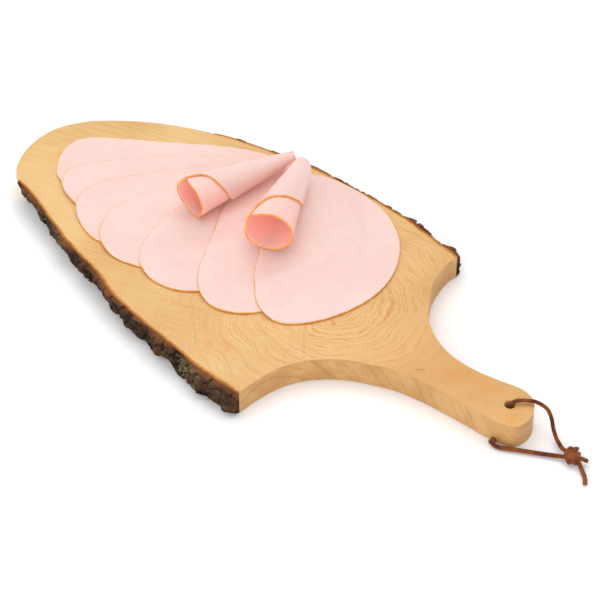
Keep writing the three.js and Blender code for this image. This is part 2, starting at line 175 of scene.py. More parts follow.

# %% [markdown]
# ## The leather thong
# The thong is one strip of soft suede, about 2.7 mm wide. It passes through the hole in
# the handle. One strand crosses the handle's top and drops over its side, the other runs
# in a groove under the handle and out along the table. Both meet in a knot, and a short
# tail leaves it. A strand is swept along a route of points. A simulated rope would find
# its own rest, but a given route keeps this one where the solid model has it. The
# strand is a tube a little flatter than it is wide, and its route turns sharply over the hole's rim.

# %% Routes, on the plan and above the table, in millimetres
THONG_R = 1.35
ROUTE_UPPER = [(150.4, 1.4, 10), (150.5, 1.6, 17.2), (152.4, 3.4, 19.3), (158.3, 8, 19.4), (162.4, 9.8, 19.2),
               (168.8, 11.6, 16), (172.4, 11, 11.5), (176.4, 8, 6), (181.4, 4.4, 3.0), (188, 0, 3.8)]
ROUTE_LOWER = [(150, 0.3, 8), (149.9, -0.2, 4.4), (149.9, -2.8, 2.1), (149.9, -8, 1.8), (150.2, -14, 1.7),
               (151.2, -18, 1.6), (154.8, -18.9, 1.6), (164.7, -14.8, 1.6), (178.6, -8.6, 1.6),
               (188, -4.8, 2.2)]
ROUTE_TAIL = [(202, -4.2, 2.6), (206.1, -7.3, 1.5), (209.2, -10.4, 1.5), (211.3, -13.8, 1.5)]
KNOT = np.array((195.4, -1.6, 4.5))


# %% Sweeping a strand of leather
def sweep(name, line, radius, squash=0.86):
    """A closed tube along a line of plan points, a little flatter than it is wide."""
    bpy.ops.object.select_all(action="DESELECT")
    bpy.ops.curve.primitive_nurbs_circle_add(radius=radius * MM)
    profile = bpy.context.object
    profile.scale = (1, squash, 1)
    data = bpy.data.curves.new(name, "CURVE")
    data.dimensions = "3D"
    data.resolution_u = 1
    data.bevel_mode = "OBJECT"
    data.bevel_object = profile
    data.use_fill_caps = True
    strand = data.splines.new("POLY")
    strand.points.add(len(line) - 1)
    for point, place in zip(strand.points, line):
        point.co = (*on_plan(*place), 1)
    obj = bpy.data.objects.new(name, data)
    bpy.context.collection.objects.link(obj)
    only(obj)
    bpy.ops.object.convert(target="MESH")
    bpy.data.objects.remove(profile)
    bpy.ops.object.mode_set(mode="EDIT")
    bpy.ops.mesh.select_all(action="SELECT")
    bpy.ops.mesh.remove_doubles(threshold=0.00002)
    bpy.ops.mesh.normals_make_consistent(inside=False)
    bpy.ops.object.mode_set(mode="OBJECT")
    bpy.ops.object.shade_smooth_by_angle(angle=math.radians(50))
    return obj


def strand_of_thong(name, route, node, steps=64):
    line = smooth_line(route, steps)
    obj = keep(sweep(name, line, THONG_R), name, node)
    long = float(np.linalg.norm(np.diff(line, axis=0), axis=1).sum()) * MM
    return obj, [tuple(on_plan(*p)) for p in line], long


# %% The two strands and the tail
upper, upper_path, upper_long = strand_of_thong("thong_over_handle", ROUTE_UPPER, "thong_upper")
lower, lower_path, lower_long = strand_of_thong("thong_under_handle", ROUTE_LOWER, "thong_lower")
tail, _, tail_long = strand_of_thong("thong_end", ROUTE_TAIL, "thong_tail", 24)
print("strands", round(upper_long, 4), round(lower_long, 4), "m, tail", round(tail_long, 4), "m")

# %% The knot: wound turns around a solid core, welded into one body
turns = []
KNOT_LONG = 7.6
KNOT_TURNS = ((-12, 3.1, 2.6, 40), (62, 3.3, 1.6, 215), (20, 2.1, 2.2, 120), (100, 2.6, 1.1, 20))
for tilt, radius, wraps, start in KNOT_TURNS:
    line = []
    for s in range(72):
        f = s / 71
        a = math.radians(start) + f * wraps * 2 * math.pi
        along, across, rise = (f - 0.5) * KNOT_LONG, radius * math.cos(a), radius * 0.8 * math.sin(a)
        c, n = math.cos(math.radians(tilt)), math.sin(math.radians(tilt))
        line.append(KNOT + (along * c - across * n, along * n + across * c, rise))
    turns.append(np.array(line))
turns.append(smooth_line([ROUTE_UPPER[-2], ROUTE_UPPER[-1], KNOT + (0, 0.8, 0.4), KNOT + (5, -1.6, -1.2),
                          ROUTE_TAIL[0], (203.5, -5.4, 2.2)], 40))
turns.append(smooth_line([ROUTE_LOWER[-2], ROUTE_LOWER[-1], KNOT + (-1, -1.2, -1.0), KNOT + (5, 0.6, 0.3),
                          KNOT + (8.6, 2.6, -1.6)], 40))
lengths = [sweep(f"turn_{k}", line, THONG_R) for k, line in enumerate(turns)]
core = np.array([KNOT + (x, 0, 0) for x in (-2.6, -1.3, 0, 1.3, 2.6)])
lengths.append(sweep("core", core, 2.1, squash=0.8))
bpy.ops.object.select_all(action="DESELECT")
for piece in lengths:
    piece.select_set(True)
bpy.context.view_layer.objects.active = lengths[0]
bpy.ops.object.join()
knot = bpy.context.object
weld = knot.modifiers.new("weld", "REMESH")
weld.mode, weld.voxel_size, weld.use_smooth_shade = "VOXEL", 0.00028, True
apply_all(knot)
keep(knot, "thong_tie", "thong_knot")

# %% The fold where the lower strand comes out from under the handle
fold_line = smooth_line([(156, -18.5, 1.9), (152.4, -19, 2.0), (149.8, -18.6, 2.2), (149.6, -17.7, 2.5),
                         (150.6, -17.3, 2.9), (152.6, -17.5, 2.9)], 40)
fold = sweep("fold", fold_line, 0.95)
weld = fold.modifiers.new("weld", "REMESH")
weld.mode, weld.voxel_size, weld.use_smooth_shade = "VOXEL", 0.00025, True
apply_all(fold)
settle(fold)
fold.name = fold.data.name = "thong_fold"
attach(fold, "root")
print("fold", len(fold.data.polygons), "faces")

# %% [markdown]
# ## Finishes: shared effects
# Ham, wood, bark and leather all vary in the same few ways: soft clouds of lighter and
# darker tone, small scattered spots, and fine streaks in one direction. Each effect is
# built once as a node group and placed in every material with its own values, so a
# change to the group reaches all of them.

# %% Node helpers
def srgb(r, g, b):
    """A screen colour from 0 to 255, as the linear colour that a shader takes."""
    return tuple(((c / 255 + 0.055) / 1.055) ** 2.4 if c > 10 else c / 255 / 12.92 for c in (r, g, b)) + (1,)


def add_node(tree, kind, **values):
    n = tree.nodes.new(kind)
    for key, value in values.items():
        setattr(n, key, value)
    return n


def wire(tree, source, socket):
    tree.links.new(source, socket)


def blend_colours(tree, factor, a, b, mode="MIX"):
    """Mix two colours; each may be a fixed colour or another node's output."""
    n = add_node(tree, "ShaderNodeMix", data_type="RGBA", blend_type=mode)
    for value, socket in ((factor, n.inputs[0]), (a, n.inputs[6]), (b, n.inputs[7])):
        if isinstance(value, (tuple, float, int)):
            socket.default_value = value
        else:
            wire(tree, value, socket)
    return n.outputs[2]


def ramp(tree, value, low, high):
    """Stretch a value so that low becomes 0 and high becomes 1."""
    n = add_node(tree, "ShaderNodeMapRange")
    n.interpolation_type = "SMOOTHSTEP"
    n.inputs["From Min"].default_value = low
    n.inputs["From Max"].default_value = high
    wire(tree, value, n.inputs["Value"])
    return n.outputs["Result"]


def multiply(tree, a, b):
    n = add_node(tree, "ShaderNodeMath", operation="MULTIPLY", use_clamp=True)
    for value, socket in ((a, n.inputs[0]), (b, n.inputs[1])):
        if isinstance(value, (int, float)):
            socket.default_value = value
        else:
            wire(tree, value, socket)
    return n.outputs[0]


def start_group(name, inputs):
    g = bpy.data.node_groups.new(name, "ShaderNodeTree")
    for label, kind, value in inputs:
        s = g.interface.new_socket(label, in_out="INPUT", socket_type=kind)
        if value is not None:
            s.default_value = value
    g.interface.new_socket("Value", in_out="OUTPUT", socket_type="NodeSocketFloat")
    return g, g.nodes.new("NodeGroupInput"), g.nodes.new("NodeGroupOutput")


# %% Clouds: soft change of tone
clouds, c_in, c_out = start_group("clouds", [("Vector", "NodeSocketVector", None),
                                             ("Scale", "NodeSocketFloat", 20.0),
                                             ("Detail", "NodeSocketFloat", 3.0)])
c_noise = add_node(clouds, "ShaderNodeTexNoise")
c_noise.inputs["Roughness"].default_value = 0.55
for label in ("Vector", "Scale", "Detail"):
    wire(clouds, c_in.outputs[label], c_noise.inputs[label])
wire(clouds, ramp(clouds, c_noise.outputs["Fac"], 0.3, 0.7), c_out.inputs["Value"])

# %% Spots: small scattered marks
spots, s_in, s_out = start_group("spots", [("Vector", "NodeSocketVector", None),
                                           ("Scale", "NodeSocketFloat", 200.0),
                                           ("Spread", "NodeSocketFloat", 0.2)])
s_cells = add_node(spots, "ShaderNodeTexVoronoi")
s_wobble = add_node(spots, "ShaderNodeTexNoise")
s_wobble.inputs["Scale"].default_value = 900
s_near = add_node(spots, "ShaderNodeMath", operation="DIVIDE")
s_flip = add_node(spots, "ShaderNodeMath", operation="SUBTRACT", use_clamp=True)
s_flip.inputs[0].default_value = 1.0
s_pick = add_node(spots, "ShaderNodeMath", operation="MULTIPLY")
for label in ("Vector", "Scale"):
    wire(spots, s_in.outputs[label], s_cells.inputs[label])
wire(spots, s_cells.outputs["Distance"], s_near.inputs[0])
wire(spots, s_in.outputs["Spread"], s_near.inputs[1])
wire(spots, s_near.outputs[0], s_flip.inputs[1])
s_some = add_node(spots, "ShaderNodeSeparateColor")
wire(spots, s_cells.outputs["Color"], s_some.inputs[0])
wire(spots, s_flip.outputs[0], s_pick.inputs[0])
wire(spots, ramp(spots, s_some.outputs[0], 0.55, 0.95), s_pick.inputs[1])
wire(spots, s_pick.outputs[0], s_out.inputs["Value"])

# %% Streaks: fine lines that run one way
streaks, f_in, f_out = start_group("streaks", [("Vector", "NodeSocketVector", None),
                                               ("Turn", "NodeSocketFloat", 0.0),
                                               ("Scale", "NodeSocketFloat", 60.0)])
f_turn = add_node(streaks, "ShaderNodeVectorRotate", rotation_type="Z_AXIS")
f_long = add_node(streaks, "ShaderNodeMapping")
f_long.inputs["Scale"].default_value = (0.08, 1.0, 1.0)
f_noise = add_node(streaks, "ShaderNodeTexNoise")
f_noise.inputs["Detail"].default_value = 4
wire(streaks, f_in.outputs["Vector"], f_turn.inputs["Vector"])
wire(streaks, f_in.outputs["Turn"], f_turn.inputs["Angle"])
wire(streaks, f_turn.outputs[0], f_long.inputs["Vector"])
wire(streaks, f_long.outputs[0], f_noise.inputs["Vector"])
wire(streaks, f_in.outputs["Scale"], f_noise.inputs["Scale"])
wire(streaks, ramp(streaks, f_noise.outputs["Fac"], 0.3, 0.7), f_out.inputs["Value"])
print("shared effects", [g.name for g in bpy.data.node_groups])


# %% Starting a material and placing an effect in it
def start_material(name, roughness):
    m = bpy.data.materials.new(name)
    m.use_nodes = True
    shader = m.node_tree.nodes["Principled BSDF"]
    shader.inputs["Roughness"].default_value = roughness
    place = add_node(m.node_tree, "ShaderNodeTexCoord").outputs["Object"]
    return m, m.node_tree, shader, place


def effect(tree, group, vector, **values):
    n = add_node(tree, "ShaderNodeGroup", node_tree=group)
    wire(tree, vector, n.inputs["Vector"])
    for label, value in values.items():
        n.inputs[label].default_value = value
    return n.outputs["Value"]


def raise_surface(tree, shader, height, depth, strength=1.0):
    """Small relief that is too fine to model, as a bump in the normal."""
    n = add_node(tree, "ShaderNodeBump")
    n.inputs["Distance"].default_value = depth
    n.inputs["Strength"].default_value = strength
    wire(tree, height, n.inputs["Height"])
    wire(tree, n.outputs["Normal"], shader.inputs["Normal"])


# %% [markdown]
# ## Ham
# Pressed turkey ham is pale pink with faint clouds, a few darker specks where bits of
# muscle show, and pale dots. Light goes a little way into it, which softens its shadows.
# In the hollow of a roll it goes through the thin wall, so the meat there looks salmon.
# Two attributes stand in for that light, as painted light. One paints a salmon tint into
# the hollow, and the other gives its wall a painted glow of its own, because the shader does
# not carry light through a whole roll.
# Smoke has coloured only the skin, so each slice has an amber rim less than a
# millimetre wide. Another attribute says how far each point is from its slice's rim,
# and the amber colour follows it.

# %% The ham's material
ham, t, shader, place = start_material("ham", 0.42)
cloud = effect(t, clouds, place, Scale=26.0)
fine_cloud = effect(t, clouds, place, Scale=140.0)
meat = blend_colours(t, cloud, srgb(251, 199, 191), srgb(253, 207, 199))
meat = blend_colours(t, fine_cloud, meat, blend_colours(t, 0.5, meat, srgb(245, 199, 192)))
speck = effect(t, spots, place, Scale=110.0, Spread=0.16)
meat = blend_colours(t, multiply(t, speck, 0.55), meat, srgb(228, 160, 158))
pale = effect(t, spots, place, Scale=210.0, Spread=0.2)
meat = blend_colours(t, pale, meat, srgb(250, 219, 209))
# painted light: a salmon tint in the rolls' hollows stands in for light that comes through the thin wall and
# bounces inside
glow = add_node(t, "ShaderNodeAttribute", attribute_name="hollow").outputs["Fac"]
meat = blend_colours(t, glow, meat, blend_colours(t, cloud, srgb(250, 146, 112), srgb(252, 160, 128)))
edge = add_node(t, "ShaderNodeAttribute", attribute_name="from_rim").outputs["Fac"]
edge_wander = effect(t, clouds, place, Scale=180.0)
wander = add_node(t, "ShaderNodeMath", operation="MULTIPLY_ADD")
wire(t, edge_wander, wander.inputs[0])
wander.inputs[1].default_value = 0.3
wire(t, edge, wander.inputs[2])
inner = ramp(t, wander.outputs[0], 0.2, 0.75)
smoked = blend_colours(t, edge_wander, srgb(232, 146, 52), srgb(244, 176, 92))
wire(t, blend_colours(t, inner, smoked, meat), shader.inputs["Base Color"])
# painted glow: the hollow's wall emits a weak light of its own, standing in for light carried through the
# roll
through = add_node(t, "ShaderNodeAttribute", attribute_name="through").outputs["Fac"]
wire(t, blend_colours(t, through, (0, 0, 0, 1), (0.085, 0.05, 0.045, 1)), shader.inputs["Emission Color"])
shader.inputs["Emission Strength"].default_value = 1.0
shader.inputs["Subsurface Weight"].default_value = 0.6
shader.inputs["Subsurface Radius"].default_value = (1.0, 0.42, 0.3)
shader.inputs["Subsurface Scale"].default_value = 0.004
shader.inputs["Specular IOR Level"].default_value = 0.45
raise_surface(t, shader, fine_cloud, 0.00012, 0.5)

# %% [markdown]
# ## The slices
# A slice starts as a circle that is drawn inwards ring by ring, so the rings follow its
# rim. Its outline is a long oval read off at a few points, and each slice's oval points
# from a place near the far edge of the board, like the cards of a fan. The height at
# any spot is the board plus every slice below that reaches it. A slice eases down over
# the rims under it, so the layers follow each other and never cut through. Cloth
# simulation would also drape them, but this is quicker and keeps each layer's place.

# %% The fan's outlines, on the plan, first slice laid first
FAN = [
    [(-191, 0), (-200, 11), (-205, 25), (-202, 38), (-186, 50), (-165, 62), (-144, 74), (-122, 86),
     (-100, 94.5), (-82, 96.5), (-69, 90), (-63, 74), (-67, 54), (-78, 33), (-94, 15), (-116, 1),
     (-142, -6), (-168, -6)],
    [(-180, -7.5), (-187, 0), (-188.5, 9), (-182, 20), (-168, 35), (-154, 48), (-138, 61), (-120, 74),
     (-102, 84), (-84, 91), (-69, 89), (-59, 78), (-58, 62), (-66, 42), (-80, 22), (-98, 5),
     (-120, -8), (-142, -14), (-163, -14)],
    [(-155, -23), (-164, -14), (-166, -2), (-162, 11), (-152, 25), (-140, 38), (-126, 53), (-112, 67),
     (-96, 79), (-80, 87), (-65, 87), (-53, 78), (-48, 62), (-50, 42), (-60, 18), (-76, -3),
     (-96, -20), (-118, -30), (-139, -31)],
    [(-138, -21), (-140, -9), (-138, 2), (-132, 14), (-122, 30), (-110, 48), (-96, 65), (-80, 78),
     (-64, 83), (-49, 76), (-41, 58), (-42, 34), (-51, 9), (-66, -13), (-84, -29), (-102, -36.5),
     (-117, -37), (-130, -31.5)],
    [(-107, 9), (-108, -8), (-104, -24), (-96.5, -34), (-83, -39.5), (-67, -38.5), (-53, -30.5),
     (-38, -15), (-26, 4), (-18, 26), (-17, 48), (-25, 70), (-42, 84), (-63, 87), (-82, 76),
     (-96, 54), (-104, 31)],
    [(-84, 38), (-79, 22), (-71, 1), (-62.5, -20), (-51, -32.5), (-37, -36.5), (-21, -31), (-7, -15),
     (2, 8), (4, 32), (-4, 58), (-22, 80), (-46, 93), (-68, 92), (-82, 78), (-87, 58)],
    [(-45, 20), (-31.5, -4), (-14, -22), (2, -24), (17, -13), (30, 9), (35.5, 34), (31, 59), (16, 82),
     (-6, 96), (-34, 101), (-56, 97), (-66, 82), (-63, 58), (-55, 38)],
]
RIM_POINTS = 144
SLICE_THICK, GAP, PITCH = 1.2, 0.3, 1.5
rims = [smooth_line(points, RIM_POINTS, closed=True) for points in FAN]
print("slices", len(rims), "about", [round(float(np.ptp(r[:, 0]))) for r in rims], "mm across the plan")


# %% How high the fan stands at any spot
def outside(rim, spots_xy):
    """Millimetres from a closed line, negative inside it."""
    a, b = rim, np.roll(rim, -1, 0)
    d = b - a
    s = np.clip(((spots_xy[:, None] - a) * d).sum(2) / (d ** 2).sum(1), 0, 1)
    gap = np.linalg.norm(spots_xy[:, None] - (a + s[..., None] * d), axis=2).min(1)
    x, y = spots_xy[:, :1], spots_xy[:, 1:]
    cross = ((a[:, 1] > y) != (b[:, 1] > y)) & (
        x < (b[:, 0] - a[:, 0]) * (y - a[:, 1]) / (b[:, 1] - a[:, 1] + 1e-12) + a[:, 0])
    return np.where(cross.sum(1) % 2 == 1, -gap, gap)


def bed_height(spots_xy, below):
    """Height of the fan over the board, in millimetres, counting the first few slices."""
    z = np.full(len(spots_xy), GAP)
    for rim in rims[:below]:
        s = np.clip((outside(rim, spots_xy) - 1.5) / 9.5, 0, 1)
        z += PITCH * (0.5 + 0.5 * np.cos(np.pi * s))
    ripple = np.array([noise.noise(Vector((x / 38, y / 38, 0.4))) for x, y in spots_xy])
    return z + 0.2 * ripple


# %% Making one slice
def soften_edges(obj):
    """Round a cut edge a little, as a blade leaves it in soft meat."""
    soft = obj.modifiers.new("soft_edge", "BEVEL")
    soft.width, soft.segments = 0.0003, 2
    soft.limit_method, soft.angle_limit = "ANGLE", math.radians(50)


def lay_slice(k):
    bpy.ops.object.select_all(action="DESELECT")
    bpy.ops.mesh.primitive_circle_add(vertices=RIM_POINTS, radius=1.0)
    obj = only(bpy.context.object)
    bpy.ops.object.mode_set(mode="EDIT")
    bpy.ops.mesh.select_all(action="SELECT")
    size = 1.0
    for smaller in (0.994, 0.986, 0.976, 0.962, 0.942, 0.915, 0.88, 0.84, 0.8, 0.76, 0.72, 0.68, 0.64,
                    0.6, 0.55, 0.5, 0.45, 0.4, 0.34, 0.28, 0.21, 0.14, 0.07):
        bpy.ops.mesh.extrude_edges_move()
        bpy.ops.transform.resize(value=(smaller / size,) * 3, center_override=(0, 0, 0))
        size = smaller
    bpy.ops.mesh.edge_face_add()
    bpy.ops.mesh.poke()
    bpy.ops.object.mode_set(mode="OBJECT")
    flat = np.array([v.co[:2] for v in obj.data.vertices])
    reach = np.linalg.norm(flat, axis=1)
    turn = np.round(np.arctan2(flat[:, 1], flat[:, 0]) / (2 * np.pi) * RIM_POINTS).astype(int) % RIM_POINTS
    middle = rims[k].mean(0)
    spots_xy = middle + reach[:, None] * (rims[k][turn] - middle)
    heights = BOARD_TOP + bed_height(spots_xy, k)
    from_rim = obj.data.attributes.new("from_rim", "FLOAT", "POINT")
    from_rim.data.foreach_set("value", np.maximum(0, -outside(rims[k], spots_xy)).astype(np.float32))
    for v, (x, y), z in zip(obj.data.vertices, spots_xy, heights):
        v.co = on_plan(x, y, z)
    bpy.ops.object.mode_set(mode="EDIT")
    bpy.ops.mesh.select_all(action="SELECT")
    bpy.ops.mesh.normals_make_consistent(inside=False)
    bpy.ops.object.mode_set(mode="OBJECT")
    if sum(p.normal.z for p in obj.data.polygons) < 0:
        obj.data.flip_normals()
    thick = obj.modifiers.new("thickness", "SOLIDIFY")
    thick.thickness = SLICE_THICK * MM
    thick.offset = 1
    soften_edges(obj)
    apply_all(obj)
    only(obj)
    bpy.ops.object.shade_smooth_by_angle(angle=math.radians(40))
    return keep(obj, f"slice_{k + 1}", f"ham_slice_{k + 1}", ham)


# %% Lay all seven
for k in range(len(FAN)):
    lay_slice(k)

# %% [markdown]
# ## The rolled slices
# Two slices are wound one and a half times into a cone, with the open mouth towards the
# board's near side and the tip over its far edge. The outer layer's long edge crosses
# the roll as an amber line, because that edge is the slice's own rim. A cone could be
# spun, but a spun cone is closed on itself and has no layers, so the sheet is made as a
# flat grid and wound: one side of the grid becomes the turn about the axis, the other
# the way along it. Where the two ends of the mouth overlap, one lies inside the other.

# %% The rolls' measures: turns in degrees, everything else in millimetres
ROLLS = {
    "left": dict(mouth=(-95.5, 15.6), heading=71.8, radius=14.7, taper=7.57, rest=(6.6, 11.9),
                 # tint: how strongly the hollow's painted salmon light shows; lit: how strongly its wall gets
                 # a painted glow
                 tint=1.0, lit=0.0,
                 rim=[(-62, 22), (-50, 8), (-30, 1.5), (0, -1.5), (30, -1), (80, 0.4), (140, 1), (208, 1.6),
                      (250, -1), (290, -0.5), (312, 3), (335, 10.5), (360, 13.6), (398, 16.3), (431, 19.8),
                      (470, 23.5), (510, 29), (532, 38)],
                 toe=[(535, 52), (505, 66), (450, 75), (360, 79), (200, 81), (60, 78), (-20, 68), (-55, 50),
                      (-64, 36)]),
    "right": dict(mouth=(-37.2, 18), heading=108.65, radius=17.3, taper=8.47, rest=(5.0, 10.8),
                  tint=0.3, lit=1.0,
                  rim=[(-78, 22), (-64, 8), (-42, -1), (-10, -2.6), (20, -0.6), (60, 1.2), (110, 1.4),
                       (162, 3), (204, 2.2), (244, -0.2), (272, 2.5), (290, 9), (310, 15), (338, 18.5),
                       (371, 21.6), (405, 25.8), (436, 30.3), (468, 35.5), (488, 44)],
                  toe=[(490, 56), (462, 65), (415, 70), (350, 72.5), (200, 74), (60, 72), (-20, 64),
                       (-68, 48), (-80, 34)]),
}
AROUND, ALONG = 220, 44


# %% Winding a sheet into a cone
def edge_line(points, turns):
    """Read a given edge at every turn, with its corners softened."""
    x, y = np.array(sorted(points), float).T
    fine = np.linspace(x[0], x[-1], 600)
    plain = np.interp(fine, x, y)
    width = 22
    soft = np.convolve(np.pad(plain, width, mode="edge"), np.hanning(2 * width + 1) / width, mode="valid")
    return np.interp(turns, fine, soft)


def wind(name, node, mouth, heading, radius, taper, rest, rim, toe, tint, lit):
    bpy.ops.object.select_all(action="DESELECT")
    bpy.ops.mesh.primitive_grid_add(x_subdivisions=AROUND, y_subdivisions=ALONG, size=2)
    obj = only(bpy.context.object)
    first, last = max(rim[0][0], toe[-1][0]), min(rim[-1][0], toe[0][0])
    flat = np.array([v.co[:2] for v in obj.data.vertices]) * 0.5 + 0.5
    turn = first + (last - first) * flat[:, 0]
    near, far = edge_line(rim, turn), edge_line(toe, turn)
    d = near + (far - near) * flat[:, 1]
    beta, yaw = math.radians(taper), math.radians(heading)
    dip = math.atan((rest[1] - rest[0]) / 76) - beta
    axis = np.array((math.cos(yaw) * math.cos(dip), math.sin(yaw) * math.cos(dip), math.sin(dip)))
    rise = np.array((-math.cos(yaw) * math.sin(dip), -math.sin(yaw) * math.sin(dip), math.cos(dip)))
    side = np.array((math.sin(yaw), -math.cos(yaw), 0))
    centre = np.array((*mouth, BOARD_TOP + rest[0] + radius))
    r = radius - d * math.tan(beta) - PITCH * (last - turn) / 360 - SLICE_THICK / 2
    a = np.radians(turn)
    place = centre + axis * d[:, None] + rise * (r * np.cos(a))[:, None] + side * (r * np.sin(a))[:, None]
    # how far each point is from the slice's own rim, measured on the unrolled sheet
    reach_in = np.minimum(d - near, far - d)
    reach_ends = np.minimum(turn - first, last - turn) * math.pi / 180 * r
    from_rim = obj.data.attributes.new("from_rim", "FLOAT", "POINT")
    from_rim.data.foreach_set("value", np.minimum(reach_in, reach_ends).astype(np.float32))
    for v, spot in zip(obj.data.vertices, place):
        v.co = on_plan(*spot)
    thick = obj.modifiers.new("thickness", "SOLIDIFY")
    thick.thickness, thick.offset = SLICE_THICK * MM, 0
    apply_all(obj)
    # the face that looks at the axis is the hollow's wall. It gets painted salmon light, for light
    # that comes through the thin wall and bounces inside, deeper further from the mouth
    spots_3d = np.array([v.co for v in obj.data.vertices]) / MM - np.array((*SHIFT, 0)) - centre
    far_in = spots_3d @ axis
    from_axis = np.linalg.norm(spots_3d - far_in[:, None] * axis, axis=1)
    inside = from_axis < np.concatenate([r, r])
    hollow = obj.data.attributes.new("hollow", "FLOAT", "POINT")
    deep = inside * np.clip(0.1 + far_in / 26, 0, 1)
    hollow.data.foreach_set("value", (deep * tint).astype(np.float32))
    # painted glow on the hollow's wall, stronger further from the mouth, for light carried through the roll
    through = obj.data.attributes.new("through", "FLOAT", "POINT")
    through.data.foreach_set("value", (inside * np.clip(0.5 + far_in / 30, 0, 1) * lit).astype(np.float32))
    soften_edges(obj)
    apply_all(obj)
    only(obj)
    bpy.ops.object.mode_set(mode="EDIT")
    bpy.ops.mesh.select_all(action="SELECT")
    bpy.ops.mesh.normals_make_consistent(inside=False)
    bpy.ops.object.mode_set(mode="OBJECT")
    bpy.ops.object.shade_smooth_by_angle(angle=math.radians(40))
    return keep(obj, name, node, ham)


# %% Wind both
wind("roll_left", "ham_roll_left", **ROLLS["left"])
wind("roll_right", "ham_roll_right", **ROLLS["right"])

# %% [markdown]
# ## Wood
# The board is pale, close-grained wood, oiled to a honey colour. It was sawn from near
# the middle of the log, so the growth rings meet the top face as circles around one
# heart near the neck. They are bold and orange close to it, and finer and fainter over
# the neck and handle. Good and bad years make rings of uneven width, so a regular wave
# would look woven. Noise read along the distance from the heart gives uneven bands. The
# sawn sides cut the same wood at another angle, and show slanting brown lines instead.

# %% Rings: uneven bands around one heart
HEART = (0.0604, 0.0095, 0.0)
rings, r_in, r_out = start_group("growth_rings", [("Vector", "NodeSocketVector", None),
                                                  ("Across", "NodeSocketFloat", 420.0)])
rings.interface.new_socket("Distance", in_out="OUTPUT", socket_type="NodeSocketFloat")
r_heart = add_node(rings, "ShaderNodeVectorMath", operation="SUBTRACT")
r_heart.inputs[1].default_value = HEART
r_flat = add_node(rings, "ShaderNodeVectorMath", operation="MULTIPLY")
r_flat.inputs[1].default_value = (1.0, 0.92, 0.35)
r_bend = add_node(rings, "ShaderNodeTexNoise")
r_bend.inputs["Scale"].default_value, r_bend.inputs["Detail"].default_value = 48, 4
r_mix = add_node(rings, "ShaderNodeVectorMath", operation="MULTIPLY_ADD")
r_mix.inputs[1].default_value = (0.015,) * 3
r_far = add_node(rings, "ShaderNodeVectorMath", operation="LENGTH")
r_read = add_node(rings, "ShaderNodeMath", operation="MULTIPLY")
r_years = add_node(rings, "ShaderNodeTexNoise", noise_dimensions="1D")
r_years.inputs["Scale"].default_value, r_years.inputs["Detail"].default_value = 1.0, 1.5
wire(rings, r_in.outputs["Vector"], r_heart.inputs[0])
wire(rings, r_heart.outputs[0], r_flat.inputs[0])
wire(rings, r_in.outputs["Vector"], r_bend.inputs["Vector"])
wire(rings, r_bend.outputs["Color"], r_mix.inputs[0])
wire(rings, r_flat.outputs[0], r_mix.inputs[2])
wire(rings, r_mix.outputs[0], r_far.inputs[0])
wire(rings, r_far.outputs["Value"], r_read.inputs[0])
wire(rings, r_in.outputs["Across"], r_read.inputs[1])
wire(rings, r_read.outputs[0], r_years.inputs["W"])
wire(rings, ramp(rings, r_years.outputs["Fac"], 0.46, 0.66), r_out.inputs["Value"])
wire(rings, r_far.outputs["Value"], r_out.inputs["Distance"])

# %% Marks: one soft oval patch at a place, for a stain, a knot or a crack
marks, m_in, m_out = start_group("marks", [("Vector", "NodeSocketVector", None),
                                           ("Place", "NodeSocketVector", None),
                                           ("Turn", "NodeSocketFloat", 0.0),
                                           ("Size", "NodeSocketVector", None)])
m_off = add_node(marks, "ShaderNodeVectorMath", operation="SUBTRACT")
m_turn = add_node(marks, "ShaderNodeVectorRotate", rotation_type="Z_AXIS")
m_fit = add_node(marks, "ShaderNodeVectorMath", operation="DIVIDE")
m_far = add_node(marks, "ShaderNodeVectorMath", operation="LENGTH")
wire(marks, m_in.outputs["Vector"], m_off.inputs[0])
wire(marks, m_in.outputs["Place"], m_off.inputs[1])
wire(marks, m_off.outputs[0], m_turn.inputs["Vector"])
wire(marks, m_in.outputs["Turn"], m_turn.inputs["Angle"])
wire(marks, m_turn.outputs[0], m_fit.inputs[0])
wire(marks, m_in.outputs["Size"], m_fit.inputs[1])
wire(marks, m_fit.outputs[0], m_far.inputs[0])
wire(marks, ramp(marks, m_far.outputs["Value"], 1.0, 0.35), m_out.inputs["Value"])
print("growth rings", len(rings.nodes), "nodes, marks", len(marks.nodes), "nodes")


# %% The wood's material
wood, t, shader, place = start_material("honey_wood", 0.5)
fibre = effect(t, streaks, place, Turn=math.radians(-12), Scale=520.0)
broad = effect(t, clouds, place, Scale=16.0, Detail=3.0)
tone = blend_colours(t, broad, srgb(208, 160, 94), srgb(222, 180, 117))
tone = blend_colours(t, multiply(t, fibre, 0.3), tone, srgb(238, 206, 152))
along = add_node(t, "ShaderNodeSeparateXYZ")
wire(t, place, along.inputs[0])
towards_handle = multiply(t, ramp(t, along.outputs["X"], 0.06, 0.125), 0.75)
tone = blend_colours(t, towards_handle, tone, blend_colours(t, broad, srgb(200, 143, 76), srgb(216, 163, 98)))
ring = add_node(t, "ShaderNodeGroup", node_tree=rings)
wire(t, place, ring.inputs["Vector"])
ring.inputs["Across"].default_value = 480.0
near_heart = add_node(t, "ShaderNodeMapRange")
near_heart.inputs["From Min"].default_value, near_heart.inputs["From Max"].default_value = 0.02, 0.1
near_heart.inputs["To Min"].default_value, near_heart.inputs["To Max"].default_value = 0.85, 0.05
wire(t, ring.outputs["Distance"], near_heart.inputs["Value"])
patchy = add_node(t, "ShaderNodeMath", operation="MULTIPLY_ADD")
patchy.inputs[1].default_value, patchy.inputs[2].default_value = 0.85, 0.15
wire(t, effect(t, clouds, place, Scale=130.0), patchy.inputs[0])
ring_line = multiply(t, multiply(t, ring.outputs["Value"], near_heart.outputs["Result"]), patchy.outputs[0])
tone = blend_colours(t, ring_line, tone, srgb(206, 126, 52))
